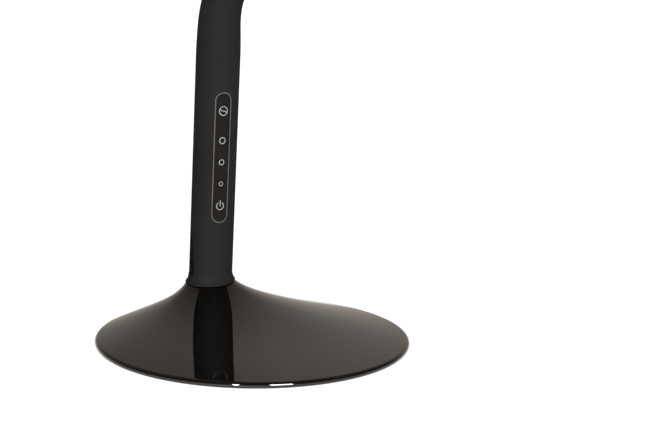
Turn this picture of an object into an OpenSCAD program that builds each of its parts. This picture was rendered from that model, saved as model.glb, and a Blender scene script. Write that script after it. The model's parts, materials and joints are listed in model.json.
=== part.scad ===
// Gooseneck desk lamp: a weighted round base, a rigid stem with a touch panel at
// its rear, a sleeved flexible neck and a slim LED head. Millimetres, +Z up.
// The origin is the centre of the underside of the base. The touch panel faces -Y.

/* [Base] */
// Diameter of the base
base_d = 200; // [180:5:230]
// Distance of the stem's axis from the base's rear edge
stem_margin = 21; // [21:1:34]
// Height of the seam between base and stem
seam_h = 21.3; // [19:0.1:30]
// Sideways slope of the seam, degrees, rising towards +X
seam_slope = 3; // [0:0.5:4]
// Height of the rounded rim
rim_h = 4.5; // [4:0.1:5.2]
// Wall of the base shell
shell_wall = 1.8; // [1.5:0.1:2.2]
// Height of the rim above the table, left open by the foam pad
rim_lift = 0.6; // [0.4:0.1:0.8]
// Thickness of the foam pad
pad_t = 1.2; // [1:0.1:1.4]
// Thickness of the bottom plate
plate_t = 0.8; // [0.6:0.1:1]
// Diameter of the bolt that holds the stem
bolt_d = 8; // [6:0.5:10]
// Diameter of the bottom plate's screws
plate_screw_d = 3; // [2.5:0.5:4]

/* [Stem] */
// Diameter of the stem
stem_d = 29; // [28:0.5:31]
// Length of the stem above the seam
stem_len = 160; // [155:1:220]
// Forward lean of the stem, degrees
stem_lean = 4.5; // [0:0.5:6]
// Wall of the stem tube
stem_wall = 2.2; // [2:0.1:2.4]
// How far the stem's foot flares out
foot_flare = 2.1; // [1:0.1:3]
// Height of the flare
flare_h = 7; // [5:0.5:9]
// Shadow gap under the stem's foot
seam_gap = 0.3; // [0.2:0.05:0.5]

/* [Touch panel] */
// Width of the touch panel
panel_w = 10.2; // [9:0.2:11]
// Length of the touch panel
panel_len = 88; // [70:1:95]
// Height of the panel's lower end above the seam
panel_low = 45.5; // [40:0.5:60]
// Thickness of the panel
panel_t = 1.1; // [0.9:0.1:1.2]
// Thickness of the touch board behind it
touch_t = 1; // [0.8:0.1:1.2]

/* [Power inlet] */
// Diameter of the inlet hole
inlet_d = 5.8; // [5.5:0.1:6.3]
// Diameter of the inlet's centre pin
inlet_pin_d = 2; // [1.6:0.1:2.5]
// Depth of the inlet's barrel
inlet_depth = 9.3; // [8:0.1:10]
// Height of the inlet above the seam
inlet_z = 13.3; // [13:0.1:14]
// Width of the recess around the inlet
recess_w = 11.8; // [11:0.2:12.6]
// Length of the recess
recess_len = 40; // [36:1:44]
// Height of the recess's lower end above the seam
recess_low = 5; // [5:0.5:7]
// Depth of the recess
recess_depth = 2.1; // [1.6:0.1:2.2]

/* [Neck] */
// Diameter of the neck's rubber sleeve
sleeve_d = 26.5; // [25:0.5:27.5]
// Diameter of the steel conduit in the sleeve
conduit_d = 14; // [13:0.5:15]
// Diameter of the lead in the conduit
lead_d = 6; // [5:0.5:6.5]
// Distance between two bends of the neck
link_len = 22; // [21:0.5:26]
// Height of the first bend above the stem
first_bend = 25; // [20:0.5:30]
// Distance from the last bend to the head
last_bend = 16; // [15:0.5:20]
// Direction the neck leans over, degrees about the stem from +X
neck_turn = -45; // [-90:5:0]
// Running gap between two links
link_gap = 0.4; // [0.35:0.05:0.5]
// Most a link swings from straight, degrees
link_swing = 22; // [20:0.5:22]
// Angle of each bend at rest, degrees
bends = [16, 15, 12, 9, 7, 7, 8, 10, 10, 9];

/* [Head] */
// Length of the head beyond its collar
head_len = 138; // [110:1:180]
// Width of the head at its tip
tip_w = 38; // [34:1:44]
// Width of the head at the collar
root_w = 30; // [28:1:32]
// Length of the collar between neck and head
collar_len = 26; // [24:1:34]
// Depth of the head's cover
cover_h = 11; // [10:0.5:14]
// Radius of the cover's upper edge
cover_round = 5; // [4:0.5:6]
// Wall of the cover
cover_wall = 1.6; // [1.4:0.1:2]
// Thickness of the bezel under the cover
bezel_t = 2; // [1.6:0.1:2.4]
// Width of the bezel's lip around the diffuser
bezel_lip = 5; // [4:0.5:6]
// Thickness of the diffuser
diffuser_t = 1.4; // [1:0.1:1.6]
// Thickness of the aluminium heat spreader
spreader_t = 1.2; // [1:0.1:1.5]
// Thickness of the LED board
led_board_t = 1; // [0.8:0.1:1.2]
// Width of the LED board
led_board_w = 16; // [14:1:20]
// Distance between neighbouring LEDs
led_pitch = 8; // [7:0.5:10]

/* [Hidden] */
bend_count = len(bends);
$fn = 72;

// Small clearance between pieces that seat in each other
fit = 0.1;
// Clearance between pieces that only lie beside each other
clear = 0.3;
big = 400;
skin_sides = 64;

base_r = base_d / 2;
neck_back = base_r - stem_margin;
rim_round = (rim_h - rim_lift) / 2;
rim_inset = 1.4;
stem_r = stem_d / 2;
stem_in_r = stem_r - stem_wall;
foot_r = stem_r + foot_flare;
weight_base_z = pad_t + plate_t + 0.2;
seat_wall = 1.5 * shell_wall;
bolt_af = 1.6 * bolt_d;
bolt_head_h = 0.65 * bolt_d;
washer_r = bolt_d;
foot_lip = 1;
washer_t = 0.2 * bolt_d;
bolt_pocket_r = washer_r + 1;
bolt_pocket_top = weight_base_z + 1 + bolt_head_h + washer_t;
plug_h = 4;
pad_low = plug_h + 0.6;
screw_ring_r = 44;
screw_head_h = pad_t - 0.2;
screw_top = pad_t + plate_t + 2.2;

recess_floor = stem_r - recess_depth;
window_w = panel_w - 2.4;
window_len = panel_len - 4;
inlet_land = recess_floor - 2;
jack_w = 9;
jack_h = 10;
jack_front = inlet_land - fit;
jack_len = inlet_depth + 4.5;
pin_short = 0.8;
pin_root_d = inlet_pin_d + 1;
pin_root_len = 2;

driver_low = recess_low + recess_len + 4;
driver_len = 76;
driver_t = 1.6;
// Heights of the driver's coil, capacitor, two chips and fuse above the board's lower end
driver_rows = [12, 24, 25, 34, 42];
driver_y = 1;
lead_start = driver_low + driver_len + clear;
ferrule_len = 18;

sleeve_r = sleeve_d / 2;
conduit_r = conduit_d / 2;
lead_r = lead_d / 2;
conduit_in = lead_r + clear;
sleeve_in = conduit_r + fit;
lead_short = lead_r * sin(link_swing) / 2 + 0.2;
groove_r = 0.7;
groove_pitch = 2.4;

collar_in = 10;
mouth_depth = 11;
mouth_wall = 1.6;
mouth_round = 5;
collar_end = last_bend + collar_len;
head_start = collar_end - mouth_depth;
head_end = collar_end + head_len;
cover_top = -7;
cover_rim = cover_top + cover_h;
tip_r = tip_w / 2;
root_r = root_w / 2;
spreader_top = cover_top + cover_round;
led_board_top = spreader_top + spreader_t;
led_h = 0.8;
spreader_start = collar_end + 8;
diffuser_start = spreader_start - 2;
led_margin = 8;
boss_r = 2.6;
head_screw_r = 1.25;
boss_inset = 7;

// How the base rises from rim (s = 0) to seam (s = 1), 0 to 1
function rise(s) = 0.545 * s - 0.17 * pow(s, 2) + 0.41 * pow(s, 3) + 0.215 * pow(s, 12);

// One ring of the base surface, set in by d on every side
function base_ring(s, d) =
    let (r = (base_r - rim_inset) * (1 - s) + foot_r * s - d)
    [for (k = [0 : skin_sides - 1])
        let (a = 360 * k / skin_sides)
        [
            r * cos(a),
            r * sin(a) + neck_back * s,
            rim_h - d + (seam_h - rim_h) * rise(s) + r * cos(a) * tan(seam_slope) * pow(s, 3)
        ]];

// A level ring about the base's centre
function flat_ring(r, z) =
    [for (k = [0 : skin_sides - 1]) let (a = 360 * k / skin_sides) [r * cos(a), r * sin(a), z]];

// Steps from rim to seam, closer together towards the seam
function steps(from, to, n) = [for (i = [0 : n]) from + (to - from) * sin(90 * i / n)];

// Outline of the head at level x, set in by d: a slim pad, wider at its tip
function pad_ring(x, d) =
    let (
        r0 = root_r - d,
        r1 = tip_r - d,
        run = head_end - tip_r - (head_start + root_r),
        lean = asin((r1 - r0) / run),
        half = skin_sides / 2
    )
    concat(
        [for (k = [0 : half - 1])
            let (a = -90 - lean + (180 + 2 * lean) * k / (half - 1))
            [x, r1 * sin(a), head_end - tip_r + r1 * cos(a)]],
        [for (k = [0 : half - 1])
            let (a = 90 + lean + (180 - 2 * lean) * k / (half - 1))
            [x, r0 * sin(a), head_start + root_r + r0 * cos(a)]]
    );

// One ring of the collar, from the round neck (t = 0) to the flat, rounded mouth around the head (t = 1)
function collar_ring(t) =
    let (
        q = t * t * (3 - 2 * t),
        r = (sleeve_r + 0.5) * (1 - q) + mouth_round * q,
        w = (sleeve_r + 0.5) * (1 - q) + (root_r + mouth_wall) * q - r,
        h = (sleeve_r + 0.5) * (1 - q) + ((cover_h + bezel_t) / 2 + mouth_wall) * q - r,
        cx = (cover_top + cover_rim + bezel_t) / 2 * q
    )
    [for (k = [0.5 : skin_sides - 0.5])
        let (a = 360 * k / skin_sides)
        [cx + h * sign(cos(a)) + r * cos(a), w * sign(sin(a)) + r * sin(a), last_bend + collar_len * t]];

// Joins a row of rings, each with the same number of points, into one closed solid
module skin(rings) {
    n = len(rings[0]);
    m = len(rings);
    points = [for (ring = rings) for (p = ring) p];
    sides = [for (i = [0 : m - 2]) for (k = [0 : n - 1])
        let (next = (k + 1) % n)
        [i * n + k, i * n + next, (i + 1) * n + next, (i + 1) * n + k]];
    ends = [[for (k = [n - 1 : -1 : 0]) k], [for (k = [0 : n - 1]) (m - 1) * n + k]];
    polyhedron(points = points, faces = [for (f = concat(sides, ends)) [for (j = [len(f) - 1 : -1 : 0]) f[j]]]);
}

// Stadium of the given width and overall length, from y = 0 upwards
module stadium(w, l) {
    translate([0, w / 2]) circle(w / 2);
    translate([0, l - w / 2]) circle(w / 2);
    translate([-w / 2, w / 2]) square([w, l - w]);
}

// Level frame on the seam's centre
module at_neck() {
    translate([0, neck_back, seam_h]) children();
}

// Frame of the stem: Z runs up the leaning stem from the seam
module on_stem() {
    at_neck() rotate([stem_lean, 0, 0]) children();
}

// Everything lower than a height above the sloping seam
module below_seam(up) {
    at_neck() rotate([0, -seam_slope, 0]) translate([-big / 2, -big / 2, up - big]) cube([big, big, big]);
}

// Angle and place of the neck from its start to bend i
function turn(i) = i == 0 ? 0 : turn(i - 1) + bends[i - 1];
function bend_x(i) = i <= 1 ? 0 : bend_x(i - 1) + link_len * sin(turn(i - 1));
function bend_z(i) = i <= 1 ? stem_len + first_bend : bend_z(i - 1) + link_len * cos(turn(i - 1));

// Frame of link i: Z runs along the link from its lower bend, +X is its inner side
module on_link(i) {
    on_stem() rotate([0, 0, neck_turn]) translate([bend_x(i), 0, bend_z(i)]) rotate([0, turn(i), 0]) children();
}

// Places children at each of four points on a circle
module four_around(r) {
    for (a = [45 : 90 : 315]) rotate([0, 0, a]) translate([r, 0, 0]) children();
}

// ---------------------------------------------------------------- base

module base_shell() {
    inner_top = base_ring(1, seat_wall);
    inner = [for (s = steps(0.96, 0, 9)) base_ring(s, shell_wall)];
    lip = [flat_ring(base_r - rim_inset - shell_wall, rim_lift)];
    rim = [for (a = [-90 : 30 : 60])
        flat_ring(base_r - rim_round + rim_round * cos(a), rim_lift + rim_round + rim_round * sin(a))];
    outer = [for (s = steps(0, 1, 20)) base_ring(s, 0)];
    color("#1c1a18") difference() {
        skin(concat([inner_top], inner, lip, rim, outer));
        at_neck() cylinder(d = bolt_d + 2 * fit, h = big, center = true);
    }
}

module base_weight() {
    inset = shell_wall + clear;
    rings = [for (s = steps(0.16, 0.97, 9)) base_ring(s, inset)];
    first = [for (p = rings[0]) [p[0], p[1], weight_base_z]];
    color("#4a4a4c") difference() {
        skin(concat([first], rings, [base_ring(1, seat_wall)]));
        at_neck() cylinder(d = bolt_d + 2 * fit, h = big, center = true);
        translate([0, neck_back, 0]) cylinder(r = bolt_pocket_r, h = bolt_pocket_top);
        four_around(screw_ring_r) cylinder(d = plate_screw_d, h = screw_top + 0.2);
    }
}

module base_plate() {
    color("#2a2a2a") difference() {
        translate([0, 0, pad_t]) cylinder(r = base_r - rim_inset - shell_wall - clear, h = plate_t);
        four_around(screw_ring_r) cylinder(d = plate_screw_d + 2 * fit, h = big);
    }
}

module base_pad() {
    color("#202020") difference() {
        cylinder(r = base_r - rim_inset - shell_wall - 4, h = pad_t);
        four_around(screw_ring_r) translate([0, 0, -1]) cylinder(r = plate_screw_d + 0.4, h = pad_t + 2);
    }
}

module base_screws() {
    color("silver") four_around(screw_ring_r) difference() {
        union() {
            translate([0, 0, pad_t - screw_head_h]) cylinder(r = plate_screw_d, h = screw_head_h);
            translate([0, 0, pad_t]) cylinder(d = plate_screw_d - fit, h = screw_top - pad_t);
        }
        translate([0, 0, pad_t - screw_head_h - 1]) cylinder(d = plate_screw_d * 0.7, h = 1.6, $fn = 6);
    }
}

module stem_bolt() {
    head_top = bolt_pocket_top - washer_t;
    color("silver") translate([0, neck_back, 0]) {
        translate([0, 0, head_top - bolt_head_h]) cylinder(d = bolt_af / cos(30), h = bolt_head_h, $fn = 6);
        translate([0, 0, head_top]) cylinder(d = bolt_d, h = seam_h + plug_h - 1 - head_top);
    }
}

module stem_washer() {
    color("gainsboro") translate([0, neck_back, bolt_pocket_top - washer_t]) difference() {
        cylinder(r = washer_r, h = washer_t);
        translate([0, 0, -1]) cylinder(d = bolt_d + 2 * fit, h = washer_t + 2);
    }
}

module stem_plug() {
    color("gray") difference() {
        at_neck() translate([0, 0, -2]) cylinder(r = stem_in_r - plug_h * tan(stem_lean) - fit, h = plug_h + 2);
        below_seam(0);
        at_neck() translate([0, 0, -3]) cylinder(d = bolt_d + fit, h = plug_h + 2.5);
    }
}

// ---------------------------------------------------------------- stem

// A stadium-shaped prism of the given width and length, centred on the panel and reaching out of the stem's front
module panel_prism(w, l) {
    translate([0, 0, panel_low + (panel_len - l) / 2]) rotate([90, 0, 0]) linear_extrude(stem_r + 1) stadium(w, l);
}

// The same, from a radius outwards
module panel_cutter(w, l, r_in) {
    difference() {
        panel_prism(w, l);
        translate([0, 0, -1]) cylinder(r = r_in, h = stem_len + 2);
    }
}

module stem_tube() {
    pocket_r = stem_r - panel_t - fit;
    color("#2e2e2f") difference() {
        union() {
            difference() {
                on_stem() translate([0, 0, -4]) cylinder(r = stem_r, h = stem_len + 4);
                below_seam(seam_gap);
            }
            at_neck() rotate([0, -seam_slope, 0]) rotate_extrude() stem_foot();
        }
        on_stem() {
            difference() {
                translate([0, 0, -5]) cylinder(r = stem_in_r, h = stem_len + 10);
                inlet_pad();
            }
            panel_cutter(panel_w + 2 * fit, panel_len + 2 * fit, pocket_r);
            panel_prism(window_w, window_len);
            inlet_recess();
            translate([0, 0, inlet_z]) rotate([0, -90, 0]) cylinder(d = inlet_d + fit, h = stem_r);
        }
    }
}

// Half section of the flared foot: a small rounded lip under a hollow curve that runs into the tube
module stem_foot() {
    in_r = stem_in_r + 1;
    lip_c = foot_r - foot_lip / 2;
    top_r = stem_r - 0.8;
    low = seam_gap + foot_lip;
    polygon(concat(
        [[in_r, seam_gap]],
        [for (a = [-90 : 30 : 90]) [lip_c + foot_lip / 2 * cos(a), seam_gap + foot_lip / 2 * (1 + sin(a))]],
        [for (t = [0.15 : 0.17 : 1]) [top_r + (lip_c - top_r) * pow(1 - t, 2.2), low + (flare_h - low) * t]],
        [[in_r, flare_h]]
    ));
}

// The flat the power inlet is mounted on, inside the tube
module inlet_pad() {
    translate([-stem_r, -stem_r, pad_low])
        cube([stem_r - inlet_land, stem_d, recess_low + recess_len + 2 - pad_low]);
}

module inlet_recess() {
    translate([-recess_floor, 0, recess_low]) rotate([90, 0, -90]) linear_extrude(stem_r) stadium(recess_w, recess_len);
}

module touch_panel() {
    color("#262422") on_stem() intersection() {
        panel_cutter(panel_w, panel_len, stem_r - panel_t);
        cylinder(r = stem_r, h = stem_len);
    }
}

module touch_board() {
    half_w = window_w / 2 - clear;
    len = window_len - window_w;
    lens_y = sqrt(pow(stem_r - panel_t, 2) - half_w * half_w);
    color("darkgreen") on_stem()
        translate([-half_w, -lens_y + fit, panel_low + (panel_len - len) / 2]) cube([2 * half_w, touch_t, len]);
}

module driver_board() {
    half_w = sqrt(pow(stem_in_r, 2) - pow(driver_y + driver_t, 2)) - fit;
    color("darkgreen") on_stem()
        translate([-half_w, driver_y, driver_low]) cube([2 * half_w, driver_t, driver_len]);
}

module driver_parts() {
    front = driver_y;
    color("dimgray") on_stem() {
        translate([0, front, driver_low + driver_rows[0]]) rotate([90, 0, 0]) cylinder(d = 10, h = 5);
        translate([-6, front - 4.2, driver_low + driver_rows[1]]) cylinder(d = 8, h = 12);
        translate([1.5, front - 1.6, driver_low + driver_rows[2]]) cube([6, 1.6, 5]);
        translate([1.5, front - 1.6, driver_low + driver_rows[3]]) cube([4, 1.6, 4]);
        translate([-7, front - 1.8, driver_low + driver_rows[4]]) cube([5, 1.8, 6.5]);
        translate([-5, front - 5, driver_low + driver_len - 9]) cube([10, 5, 8]);
    }
}

module dc_jack() {
    color("#111111") on_stem() difference() {
        translate([-jack_front, -jack_w / 2, inlet_z - jack_h / 2]) cube([jack_len, jack_w, jack_h]);
        translate([-jack_front + inlet_depth, 0, inlet_z]) rotate([0, -90, 0]) cylinder(d = inlet_d, h = inlet_depth + 1);
        translate([-jack_front + inlet_depth - 1, 0, inlet_z]) rotate([0, 90, 0])
            cylinder(d = pin_root_d, h = pin_root_len + 1);
    }
}

module dc_pin() {
    color("gold") on_stem() translate([-jack_front, 0, inlet_z]) rotate([0, 90, 0]) {
        translate([0, 0, pin_short]) cylinder(d = inlet_pin_d, h = inlet_depth - pin_short);
        translate([0, 0, inlet_depth]) cylinder(d = pin_root_d, h = pin_root_len);
    }
}

module neck_ferrule() {
    color("silver") on_stem() translate([0, 0, stem_len - ferrule_len]) difference() {
        cylinder(r = stem_in_r - fit, h = ferrule_len);
        translate([0, 0, 3]) cylinder(r = conduit_r + fit, h = ferrule_len);
        translate([0, 0, -1]) cylinder(r = conduit_in, h = ferrule_len);
        for (a = [0, 180]) rotate([0, 0, a]) translate([0, 0, ferrule_len / 2]) rotate([0, 90, 0]) cylinder(d = 4, h = big);
    }
}

module ferrule_screws() {
    color("black") on_stem() for (a = [0, 180])
        rotate([0, 0, a]) translate([conduit_r + fit, 0, stem_len - ferrule_len / 2]) rotate([0, 90, 0]) difference() {
            cylinder(d = 4 - 2 * fit, h = stem_in_r - conduit_r - 4 * fit);
            translate([0, 0, 1.5]) cylinder(d = 2, h = big, $fn = 6);
        }
}

module stem_lead() {
    color("#151515") on_stem() translate([0, 0, lead_start])
        cylinder(r = lead_r, h = stem_len + first_bend - lead_short - lead_start);
}

// ---------------------------------------------------------------- neck

// Half section of a link's tube from its lower bend at z = 0 to its upper bend at z = l. The upper end is a dome about
// the upper bend, the lower end a bowl about the lower one, and the mouth of the bore widens so that the tube of
// radius in_r in the next link can swing.
module link_section(r, bore, in_r, dome_h, l) {
    mouth = in_r / cos(link_swing) + link_gap;
    difference() {
        union() {
            square([r, l]);
            translate([0, l]) circle(r);
        }
        link_bowl(r);
        translate([-2 * r, -l]) square([2 * r + bore, 4 * l]);
        link_mouth(mouth, bore, l);
        translate([0, l + dome_h]) square([2 * r, 2 * r]);
    }
}

module link_bowl(r) {
    circle(r + link_gap);
}

// Widening of the bore about the upper bend at z = l
module link_mouth(mouth, bore, l) {
    reach = 20;
    polygon([
        [bore - 1, l - 3],
        [bore, l - 3],
        [mouth, l - 1.4],
        [mouth + (reach + 1) * tan(link_swing), l + reach],
        [bore - 1, l + reach]
    ]);
}

// Height of the dome where its wall is still 0.4 thick
function dome(r, in_r) =
    let (
        m = in_r / cos(link_swing) + link_gap + 0.4 + tan(link_swing) * 1.4,
        t = tan(link_swing),
        a = 1 + t * t,
        b = 2 * m * t
    )
    (-b + sqrt(b * b - 4 * a * (m * m - r * r))) / (2 * a);

module sleeve_section(l) {
    link_section(sleeve_r, sleeve_in, conduit_r, dome(sleeve_r, conduit_r), l);
}

module conduit_section(l) {
    difference() {
        link_section(conduit_r, conduit_in, lead_r, dome(conduit_r, lead_r), l);
        for (z = [5 : groove_pitch : l - 2.5]) translate([conduit_r + groove_r * 0.4, z]) circle(groove_r, $fn = 24);
    }
}

module neck_sleeve(i) {
    color("#2e2e2f") on_link(i) {
        if (i == 0) {
            translate([0, 0, -first_bend]) first_sleeve();
        } else if (i == bend_count) {
            rotate_extrude() difference() {
                translate([sleeve_in, 0]) square([sleeve_r - sleeve_in, last_bend]);
                link_bowl(sleeve_r);
            }
        } else {
            rotate_extrude() sleeve_section(link_len);
        }
    }
}

// The sleeve's first stretch, which tapers from the stem to the neck
module first_sleeve() {
    taper = stem_r - sleeve_r;
    rotate_extrude() {
        difference() {
            union() {
                polygon([
                    [0, 0],
                    [stem_r, 0],
                    [stem_r - 0.45 * taper, first_bend * 0.42],
                    [stem_r - 0.7 * taper, first_bend * 0.76],
                    [sleeve_r, first_bend],
                    [0, first_bend]
                ]);
                translate([0, first_bend]) circle(sleeve_r);
            }
            translate([-big, -big / 2]) square([big + sleeve_in, big]);
            link_mouth(conduit_r / cos(link_swing) + link_gap, sleeve_in, first_bend);
            translate([0, first_bend + dome(sleeve_r, conduit_r)]) square(2 * stem_d);
        }
    }
}

module neck_conduit(i) {
    color("#8f9296") on_link(i) {
        if (i == 0) {
            l = first_bend + ferrule_len - 3;
            translate([0, 0, -l]) rotate_extrude() difference() {
                conduit_section(l);
                square([2 * conduit_d, 0.01]);
            }
        } else if (i == bend_count) {
            rotate_extrude() difference() {
                translate([conduit_in, 0]) square([conduit_r - conduit_in, last_bend + collar_in]);
                link_bowl(conduit_r);
            }
        } else {
            rotate_extrude() conduit_section(link_len);
        }
    }
}

module neck_lead(i) {
    color("#151515") on_link(i) translate([0, 0, lead_short]) cylinder(r = lead_r, h = link_len - 2 * lead_short);
}

// ---------------------------------------------------------------- head

module head_collar() {
    color("#2e2e2f") on_link(bend_count) difference() {
        skin([for (k = [0 : 8]) collar_ring(k / 8)]);
        translate([0, 0, last_bend - 1]) cylinder(r = conduit_r + fit, h = collar_in + 1 + fit);
        cylinder(r = conduit_in, h = collar_end + 1);
        head_core(clear);
    }
}

// The head's outer form from cover to bezel, grown by d, which the collar grips
module head_core(d) {
    skin([for (x = [cover_rim + bezel_t + d, cover_top - d]) pad_ring(x, -d)]);
}

module head_cover() {
    rounding = [for (a = [0 : 18 : 90])
        pad_ring(cover_top + cover_round * (1 - sin(a)), cover_round * (1 - cos(a)))];
    top_in = cover_top + cover_wall;
    color("#2e2e2f") on_link(bend_count) {
        difference() {
            skin(concat([pad_ring(cover_rim, 0)], rounding));
            skin([for (x = [cover_rim + 1, spreader_top]) pad_ring(x, cover_wall)]);
            skin([pad_ring(top_in + cover_round, cover_wall), pad_ring(top_in, cover_round * 0.75)]);
            translate([0, 0, head_start - 1]) cylinder(r = conduit_in, h = root_r);
        }
        head_bosses();
    }
}

// Places children at the cover's four screw bosses
module at_bosses() {
    for (z = [spreader_start + boss_inset, head_end - tip_r - boss_inset], side = [-1, 1])
        translate([0, side * (led_board_w / 2 + boss_r), z]) children();
}

module head_bosses() {
    at_bosses() translate([cover_top + cover_wall - fit, 0, 0]) rotate([0, 90, 0]) difference() {
        cylinder(r = boss_r, h = spreader_top - cover_top - cover_wall + fit);
        translate([0, 0, 0.8]) cylinder(r = head_screw_r + fit / 2, h = big);
    }
}

module head_spreader() {
    color("lightgray") on_link(bend_count) difference() {
        skin([for (x = [spreader_top + spreader_t, spreader_top]) pad_ring(x, cover_wall + clear)]);
        translate([-big / 2, -big / 2, spreader_start - big]) cube(big);
        at_bosses() rotate([0, 90, 0]) cylinder(r = head_screw_r + fit, h = big, center = true);
    }
}

module led_board() {
    color("white") on_link(bend_count)
        translate([led_board_top, -led_board_w / 2, spreader_start + 3])
            cube([led_board_t, led_board_w, head_end - tip_r - spreader_start]);
}

module led_chips() {
    first = spreader_start + led_margin;
    last = head_end - tip_r - 2;
    color("khaki") on_link(bend_count) for (z = [first : led_pitch : last], side = [-1, 1])
        translate([led_board_top + led_board_t, side * led_board_w / 4 - 1.4, z]) cube([led_h, 2.8, 3.5]);
}

module head_diffuser() {
    color("ivory") on_link(bend_count) difference() {
        skin([for (x = [cover_rim, cover_rim - diffuser_t]) pad_ring(x, cover_wall + clear)]);
        translate([-big / 2, -big / 2, diffuser_start - big]) cube(big);
    }
}

module head_bezel() {
    edge = bezel_t / 2;
    color("#2e2e2f") on_link(bend_count) difference() {
        skin([
            pad_ring(cover_rim + bezel_t, edge),
            pad_ring(cover_rim + bezel_t - edge * 0.3, edge * 0.3),
            pad_ring(cover_rim + bezel_t - edge, 0),
            pad_ring(cover_rim, 0)
        ]);
        difference() {
            skin([for (x = [cover_rim + bezel_t + 1, cover_rim - 1]) pad_ring(x, bezel_lip)]);
            translate([-big / 2, -big / 2, spreader_start + 1 - big]) cube(big);
        }
    }
}

module head_screws() {
    color("silver") on_link(bend_count) at_bosses() rotate([0, 90, 0]) {
        translate([0, 0, spreader_top + spreader_t]) difference() {
            cylinder(r = 2.3, h = 1.2);
            translate([0, 0, 0.5]) cylinder(r = 1, h = 2, $fn = 6);
        }
        translate([0, 0, cover_top + cover_wall + 1.2])
            cylinder(r = head_screw_r - fit, h = spreader_top + spreader_t - cover_top - cover_wall - 1.2);
    }
}

module head_lead() {
    color("#151515") on_link(bend_count) translate([0, 0, lead_short])
        cylinder(r = lead_r, h = diffuser_start - clear - lead_short);
}

base_shell();
base_weight();
base_plate();
base_pad();
base_screws();
stem_bolt();
stem_washer();
stem_plug();
stem_tube();
touch_panel();
touch_board();
driver_board();
driver_parts();
dc_jack();
dc_pin();
neck_ferrule();
ferrule_screws();
stem_lead();
for (i = [0 : bend_count]) neck_sleeve(i);
for (i = [0 : bend_count]) neck_conduit(i);
for (i = [1 : bend_count - 1]) neck_lead(i);
head_collar();
head_cover();
head_spreader();
led_board();
led_chips();
head_diffuser();
head_bezel();
head_screws();
head_lead();
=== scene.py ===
"""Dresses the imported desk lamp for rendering.

Shapes are in millimetres and become metres where a mesh is made. The camera, the lights, the floor and the
sizes in materials are in metres.
"""

import json
import math

import bpy
from mathutils import Matrix, Vector
from mathutils.bvhtree import BVHTree
from mathutils.interpolate import poly_3d_calc


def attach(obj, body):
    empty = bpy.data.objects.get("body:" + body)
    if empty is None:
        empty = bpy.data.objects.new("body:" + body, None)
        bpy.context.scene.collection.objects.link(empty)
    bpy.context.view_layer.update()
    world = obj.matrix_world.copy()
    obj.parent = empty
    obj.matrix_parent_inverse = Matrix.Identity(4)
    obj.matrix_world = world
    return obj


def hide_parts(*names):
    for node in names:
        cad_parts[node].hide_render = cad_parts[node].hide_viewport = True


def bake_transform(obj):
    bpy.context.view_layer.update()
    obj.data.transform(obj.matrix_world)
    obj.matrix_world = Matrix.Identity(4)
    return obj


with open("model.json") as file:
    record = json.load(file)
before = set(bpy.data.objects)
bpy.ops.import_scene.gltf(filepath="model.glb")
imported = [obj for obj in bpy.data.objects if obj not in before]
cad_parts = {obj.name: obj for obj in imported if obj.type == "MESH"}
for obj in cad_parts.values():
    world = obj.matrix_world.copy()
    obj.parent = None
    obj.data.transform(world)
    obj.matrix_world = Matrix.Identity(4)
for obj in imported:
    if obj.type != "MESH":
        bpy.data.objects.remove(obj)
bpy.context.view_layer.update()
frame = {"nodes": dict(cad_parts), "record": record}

# ---------------------------------------------------------------- the CAD's own sizes

# base
BASE_R = 100.0
RIM_INSET = 1.4  # from the rim's outside to where the sweeping top begins
RIM_ROUND = 1.95
RIM_H = 4.5
RIM_LIFT = 0.6  # height of the rim's lower edge above the desk
SHELL_WALL = 1.8

# seam between base and stem
NECK_BACK = 79.0  # how far its middle lies behind the base's
SEAM_H = 21.3
SEAM_SLOPE = 3.0  # sideways, degrees
SEAM_GAP = 0.3

# stem, with heights from the seam along its axis
STEM_R = 14.5
STEM_IN_R = 12.3
STEM_LEN = 160.0
LEAN = 4.5  # forward, degrees
FOOT_R = 16.6
FLARE_H = 7.0
PANEL_LEN = 88.0
PANEL_LOW = 45.5
RECESS_FLOOR = 12.4  # distance from the stem's axis
INLET_Z = 13.3
INLET_R = 2.95
INLET_LAND = 10.4  # inner face of the wall round the inlet, from the stem's axis

# neck
SLEEVE_R = 13.25
LINK_LEN = 22.0
FIRST_BEND = 25.0  # height above the stem's top
LAST_BEND = 16.0  # distance to the collar
NECK_TURN = -45.0  # direction of the neck's plane about the stem, degrees from +X
BENDS = [16, 15, 12, 9, 7, 7, 8, 10, 10, 9]  # degrees at rest

# head, with levels across its thickness: 0 on the neck's line, positive towards the desk
COLLAR_LEN = 26.0
MOUTH_DEPTH = 11.0  # how far the head goes into the collar
MOUTH_WALL = 1.6
MOUTH_ROUND = 5.0
HEAD_LEN = 138.0
TIP_R = 19.0
ROOT_R = 15.0
COVER_TOP = -7.0
COVER_H = 11.0
COVER_ROUND = 5.0
COVER_WALL = 1.6
BEZEL_T = 2.0
BEZEL_LIP = 5.0
DIFFUSER_T = 1.4
SPREADER_GAP = 8.0  # from the collar to the heat spreader

COUNT = len(BENDS)
HALF_LINK = LINK_LEN / 2
SKIN_END = STEM_LEN + FIRST_BEND - HALF_LINK  # where the stem's skin ends and the first bend's begins
COLLAR_END = LAST_BEND + COLLAR_LEN
HEAD_START = COLLAR_END - MOUTH_DEPTH
HEAD_END = COLLAR_END + HEAD_LEN
COVER_RIM = COVER_TOP + COVER_H
BEZEL_LOW = COVER_RIM + BEZEL_T
SPREADER_START = COLLAR_END + SPREADER_GAP
BEZEL_OPEN = SPREADER_START + 1
DIFFUSER_START = SPREADER_START - 2

MM = Matrix.Scale(0.001, 4)


def spin(degrees, axis):
    return Matrix.Rotation(math.radians(degrees), 4, axis)


def turn(i):
    """How far link i leans over in the neck's plane, in degrees."""
    return sum(BENDS[:i])


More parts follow.
